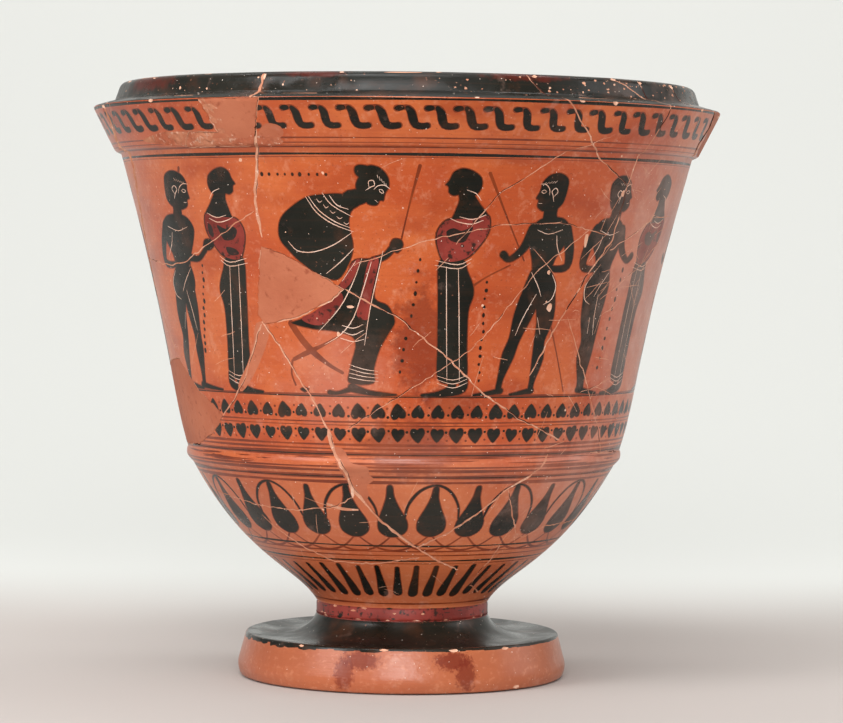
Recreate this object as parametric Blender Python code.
# Footed deep cup of fired clay, thrown in two parts and joined before firing,
# with the plaster that a restorer set in its losses.
# Metres, +Z up, standing on the ring of its foot. Azimuth 0 faces -Y, and +90 faces +X.

import math

import bmesh
import bpy
from mathutils import Vector, geometry

# Foot: a thick disc that runs up into the stem.
foot_radius = 0.0527            # widest, just above the surface it stands on
foot_rest_radius = 0.0515       # outer edge of the resting ring
foot_bulge_height = 0.0034      # height of the widest line
foot_top_radius = 0.0499
foot_edge_height = 0.0139       # thickness of the disc at its edge
foot_edge_round = 0.0007
foot_dish_drop = 0.0010         # the disc's upper side sinks this far behind its edge
foot_dish_width = 0.0080        # how far in from the edge the dish is lowest
stem_radius = 0.0276
stem_rise = 0.0055              # from the disc's edge up to the fillet
resting_ring_width = 0.0075
recess_height = 0.0120          # hollow under the foot, at its middle
recess_step = 0.0030            # upright inner side of the resting ring
recess_flat_radius = 0.0120

# Fillet: the low purple ring that hides the joint of foot and bowl.
fillet_radius = 0.0275
fillet_height = 0.0042
fillet_groove = 0.0004
fillet_round = 0.0005

# Bowl below the ridge.
bowl_base_radius = 0.0273
bowl_radius = 0.0673
bowl_height = 0.0445
bowl_base_slope = 58.6          # degrees above the horizontal
bowl_rim_slope = 61.4
bowl_thickness = 0.0058
floor_thickness = 0.0075        # from the bowl's base to its floor inside
floor_flat_radius = 0.0200

# Ridge: the raised ring between bowl and wall.
ridge_reach = 0.0021            # how far it stands out from the bowl
ridge_height = 0.0048
ridge_round = 0.0014

# Wall, from the ridge to the flange.
wall_base_radius = 0.0690
wall_top_radius = 0.0910
wall_height = 0.0926
wall_base_slope = 71.7
wall_top_slope = 74.0
wall_thickness = 0.0050

# Flange and lip.
flange_step = 0.0020            # the small shelf where the flange starts
flange_step_rise = 0.0009
flange_reach = 0.0090           # from the top of the wall out to the flange's edge
flange_height = 0.0148
flange_top_rise = 0.0019        # the flange's upper side climbs this far to the lip
flange_round = 0.0006
lip_setback = 0.0069            # from the flange's edge in to the foot of the lip
lip_lean = 0.0019               # the lip leans in this much on its way up
lip_height = 0.0058
lip_thickness = 0.0062
lip_round = 0.0016

# Plaster fills.
fill_gap = 0.0003               # meshes that touch keep this gap
rim_fill_bite = 0.0020          # how far the rim's loss goes in behind the wall's face

segments = 64
smooth_angle = math.radians(32)

# Each loss as (azimuth in degrees, share of the height of the wall or flange).
frieze_loss = [
    (-31.1, 0.687), (-25.6, 0.661), (-21.0, 0.624), (-13.0, 0.551), (-15.8, 0.514),
    (-19.9, 0.486), (-24.1, 0.459), (-28.3, 0.446), (-32.8, 0.434), (-34.2, 0.466),
    (-32.8, 0.576),
]
lower_wall_loss = [
    (-101.0, 0.265), (-92.0, 0.290), (-85.6, 0.277), (-77.0, 0.300), (-68.4, 0.308),
    (-62.3, 0.240), (-58.7, 0.199), (-52.8, 0.159), (-50.2, 0.127), (-52.9, 0.089),
    (-56.2, 0.063), (-65.6, 0.020), (-80.0, 0.012), (-95.0, 0.040), (-103.0, 0.130),
]
rim_loss = [
    (-38.4, 0.975), (-37.4, 0.708), (-36.0, 0.310), (-43.0, 0.330), (-45.9, 0.030),
    (-28.9, 0.030), (-25.6, 0.975),
]


def curve_between(start, start_slope, start_pull, end, end_slope, end_pull, steps):
    """Points of a smooth curve with a slope in degrees at each end, the start left out."""
    start, end = Vector(start), Vector(end)
    reach = (end - start).length
    leave = Vector((math.cos(math.radians(start_slope)), math.sin(math.radians(start_slope))))
    arrive = Vector((math.cos(math.radians(end_slope)), math.sin(math.radians(end_slope))))
    first = start + leave * reach * start_pull
    second = end - arrive * reach * end_pull
    return [tuple(p) for p in geometry.interpolate_bezier(start, first, second, end, steps + 1)][1:]


def rounded_corner(before, corner, after, size, steps):
    """A corner of the profile worn round: a short curve that starts and ends size away from it."""
    before, corner, after = Vector(before), Vector(corner), Vector(after)
    start_size = min(size, (before - corner).length * 0.45)
    end_size = min(size, (after - corner).length * 0.45)
    start = corner + (before - corner).normalized() * start_size
    end = corner + (after - corner).normalized() * end_size
    points = []
    for step in range(steps + 1):
        t = step / steps
        points.append(tuple((1 - t) ** 2 * start + 2 * t * (1 - t) * corner + t ** 2 * end))
    return points


def inset_path(points, distance):
    """The same path moved to its left, which is the vessel's inside."""
    moved = []
    for index, point in enumerate(points):
        before = Vector(points[max(index - 1, 0)])
        after = Vector(points[min(index + 1, len(points) - 1)])
        along = (after - before).normalized()
        moved.append((point[0] - along.y * distance, point[1] + along.x * distance))
    return moved


stem_height = foot_edge_height + stem_rise
bowl_base_height = stem_height + fillet_height
ridge_base_height = bowl_base_height + bowl_height
wall_base_height = ridge_base_height + ridge_height
flange_base_height = wall_base_height + wall_height
flange_edge_height = flange_base_height + flange_height
lip_base_height = flange_edge_height + flange_top_rise
total_height = lip_base_height + lip_height
floor_height = bowl_base_height + floor_thickness
flange_radius = wall_top_radius + flange_reach
lip_base_radius = flange_radius - lip_setback
lip_top_radius = lip_base_radius - lip_lean

bowl_base = (bowl_base_radius, bowl_base_height)
bowl_top = (bowl_radius, ridge_base_height)
wall_base = (wall_base_radius, wall_base_height)
wall_top = (wall_top_radius, flange_base_height)
flange_edge = (flange_radius, flange_edge_height)
lip_base = (lip_base_radius, lip_base_height)
lip_top = (lip_top_radius, total_height)
lip_inner = (lip_top_radius - lip_thickness, total_height)


def foot_profile():
    """From the middle of the hollow under the foot, round the disc and up to the bowl."""
    ring_inner = foot_rest_radius - resting_ring_width
    recess_top = (recess_flat_radius, recess_height)
    ring_side = (ring_inner, recess_step)
    points = [(0.0, recess_height), recess_top]
    points += curve_between(recess_top, 0, 0.35, ring_side, -35, 0.35, 4)
    points += [(ring_inner, 0.0), (foot_rest_radius, 0.0)]
    points += [(foot_radius - 0.2 * (foot_radius - foot_rest_radius), 0.4 * foot_bulge_height)]
    points += [(foot_radius, foot_bulge_height)]
    top_edge = (foot_top_radius, foot_edge_height)
    dish = (foot_top_radius - foot_dish_width, foot_edge_height - foot_dish_drop)
    points += rounded_corner((foot_radius, foot_bulge_height), top_edge, dish, foot_edge_round, 2)
    points += [dish]
    stem = (stem_radius, stem_height)
    points += curve_between(dish, 180, 0.5, stem, 112, 0.3, 6)
    groove = (fillet_radius - fillet_groove, stem_height + fillet_round)
    points += [groove]
    points += [(fillet_radius, stem_height + 2 * fillet_round)]
    points += [(fillet_radius, bowl_base_height - fillet_round)]
    points += [bowl_base]
    return points


def bowl_profile(steps):
    return curve_between(bowl_base, bowl_base_slope, 0.213, bowl_top, bowl_rim_slope, 0.594, steps)


def wall_profile(steps):
    return curve_between(wall_base, wall_base_slope, 0.183, wall_top, wall_top_slope, 0.61, steps)


def ridge_profile():
    ridge_radius = bowl_radius + ridge_reach
    lower = (ridge_radius, ridge_base_height + 0.45 * ridge_height)
    upper = (ridge_radius, ridge_base_height + 0.9 * ridge_height)
    points = rounded_corner(bowl_top, lower, upper, ridge_round, 2)
    points += rounded_corner(lower, upper, wall_base, ridge_round, 1)
    return points + [wall_base]


def rim_profile():
    """Out over the flange, over the lip and in to the lip's inner edge."""
    shelf = (wall_top_radius + flange_step, flange_base_height + flange_step_rise)
    points = [shelf]
    points += rounded_corner(shelf, flange_edge, lip_base, flange_round, 2)
    points += [lip_base]
    points += rounded_corner(lip_base, lip_top, lip_inner, lip_round, 3)
    points += rounded_corner(lip_top, lip_inner, (lip_inner[0], flange_base_height), lip_round, 2)
    return points


def inside_profile():
    """Down the inside, a wall's thickness in from the outside, to the middle of the floor."""
    wall_inside = inset_path([wall_base] + wall_profile(4), wall_thickness)
    bowl_inside = inset_path([bowl_base] + bowl_profile(7), bowl_thickness)
    lowest = floor_height + 0.25 * floor_thickness
    bowl_inside = [point for point in bowl_inside if point[1] > lowest and point[0] > floor_flat_radius]
    points = [point for point in reversed(wall_inside) if point[1] < flange_base_height - wall_thickness]
    points = [(min(point[0], lip_inner[0]), point[1]) for point in points]
    points += [point for point in reversed(bowl_inside) if point[1] < wall_base_height - bowl_thickness]
    return points + [(floor_flat_radius, floor_height), (0.0, floor_height)]


def vessel_profile():
    points = foot_profile() + bowl_profile(8) + ridge_profile() + wall_profile(6)
    return points + rim_profile() + inside_profile()


def turned_mesh(name, profile):
    """A closed turned body from a profile that starts and ends on the axis."""
    shape = bmesh.new()
    rings = []
    for radius, height in profile:
        if radius == 0.0:
            rings.append([shape.verts.new((0.0, 0.0, height))])
            continue
        ring = []
        for index in range(segments):
            angle = 2 * math.pi * index / segments
            ring.append(shape.verts.new((radius * math.cos(angle), radius * math.sin(angle), height)))
        rings.append(ring)
    for lower, upper in zip(rings, rings[1:]):
        for index in range(segments):
            after = (index + 1) % segments
            if len(lower) == 1:
                shape.faces.new((lower[0], upper[after], upper[index]))
            elif len(upper) == 1:
                shape.faces.new((lower[index], lower[after], upper[0]))
            else:
                shape.faces.new((lower[index], lower[after], upper[after], upper[index]))
    mesh = bpy.data.meshes.new(name)
    shape.to_mesh(mesh)
    shape.free()
    return mesh


def outward_offset(outline, distance):
    """A closed outline moved out by a distance, or in where it is negative."""
    moved = []
    count = len(outline)
    for index, point in enumerate(outline):
        before = (point - outline[index - 1]).normalized()
        after = (outline[(index + 1) % count] - point).normalized()
        side_before = Vector((before.y, -before.x))
        side_after = Vector((after.y, -after.x))
        middle = (side_before + side_after).normalized()
        moved.append(point + middle * distance / max(middle.dot(side_before), 0.3))
    return moved


def loss_outline(loss, base_height, height, radius, distance):
    """A loss on the unrolled surface, counterclockwise, moved out by a distance."""
    outline = [Vector((math.radians(azimuth) * radius, base_height + share * height))
               for azimuth, share in loss]
    turned = sum(a.cross(b) for a, b in zip(outline, outline[1:] + outline[:1]))
    if turned < 0:
        outline.reverse()
    return outward_offset(outline, distance)


def wedge(name, outline, unroll_radius, inner_radius, outer_radius):
    """A cutter: the outline on the unrolled surface, run out along the radii."""
    longest = math.radians(4) * unroll_radius
    path = []
    for start, end in zip(outline, outline[1:] + outline[:1]):
        pieces = max(1, math.ceil((end - start).length / longest))
        path += [start.lerp(end, piece / pieces) for piece in range(pieces)]
    shape = bmesh.new()
    sides = []
    for radius in (inner_radius, outer_radius):
        ring = []
        for along, height in path:
            angle = along / unroll_radius
            ring.append(shape.verts.new((radius * math.sin(angle), -radius * math.cos(angle), height)))
        sides.append(ring)
    inner, outer = sides
    count = len(path)
    for index in range(count):
        after = (index + 1) % count
        shape.faces.new((outer[index], inner[index], inner[after]))
        shape.faces.new((outer[index], inner[after], outer[after]))
    for corners in geometry.tessellate_polygon([[Vector((*p, 0)) for p in path]]):
        shape.faces.new([outer[corner] for corner in corners])
        shape.faces.new([inner[corner] for corner in reversed(corners)])
    bmesh.ops.recalc_face_normals(shape, faces=shape.faces)
    mesh = bpy.data.meshes.new(name)
    shape.to_mesh(mesh)
    shape.free()
    cutter = bpy.data.objects.new(name, mesh)
    bpy.context.scene.collection.objects.link(cutter)
    cutter.hide_render = True
    cutter.display_type = "WIRE"
    return cutter


def cut(piece, cutter, operation):
    modifier = piece.modifiers.new(cutter.name, "BOOLEAN")
    modifier.operation = operation
    modifier.solver = "EXACT"
    modifier.object = cutter


def finish(name, color, roughness):
    material = bpy.data.materials.new(name)
    material.use_nodes = True
    shader = material.node_tree.nodes["Principled BSDF"]
    shader.inputs["Base Color"].default_value = (*color, 1.0)
    shader.inputs["Roughness"].default_value = roughness
    shader.inputs["Metallic"].default_value = 0.0
    return material


def turned_piece(name, material):
    mesh = turned_mesh(name, vessel_profile())
    mesh.shade_smooth()
    mesh.set_sharp_from_angle(angle=smooth_angle)
    mesh.materials.append(material)
    piece = bpy.data.objects.new(name, mesh)
    bpy.context.scene.collection.objects.link(piece)
    return piece


def set_fill(vessel, name, loss, base_height, height, reach, material):
    """Open a loss in the vessel and set a plaster fill in it, a gap away all round."""
    unroll_radius, inner_radius, outer_radius = reach
    opening = loss_outline(loss, base_height, height, unroll_radius, fill_gap / 2)
    plug = loss_outline(loss, base_height, height, unroll_radius, -fill_gap / 2)
    cut(vessel, wedge(name + "_loss", opening, *reach), "DIFFERENCE")
    fill = turned_piece(name, material)
    plug_reach = (unroll_radius, inner_radius + fill_gap, outer_radius)
    cut(fill, wedge(name + "_outline", plug, *plug_reach), "INTERSECT")
    return fill


for leftover in list(bpy.data.objects):
    bpy.data.objects.remove(leftover)

fired_clay = finish("fired_clay", (0.58, 0.12, 0.04), 0.35)
plaster = finish("tinted_plaster", (0.60, 0.18, 0.09), 0.60)

vessel = turned_piece("vessel", fired_clay)
through_inner = 0.5 * wall_base_radius
through_outer = 1.5 * flange_radius
through_wall = (0.5 * (wall_base_radius + wall_top_radius), through_inner, through_outer)
rim_inner = wall_top_radius - rim_fill_bite
through_flange = (flange_radius, rim_inner, through_outer)
set_fill(vessel, "frieze_fill", frieze_loss, wall_base_height, wall_height, through_wall, plaster)
set_fill(vessel, "lower_wall_fill", lower_wall_loss, wall_base_height, wall_height, through_wall, plaster)
set_fill(vessel, "rim_fill", rim_loss, flange_base_height, flange_height, through_flange, plaster)
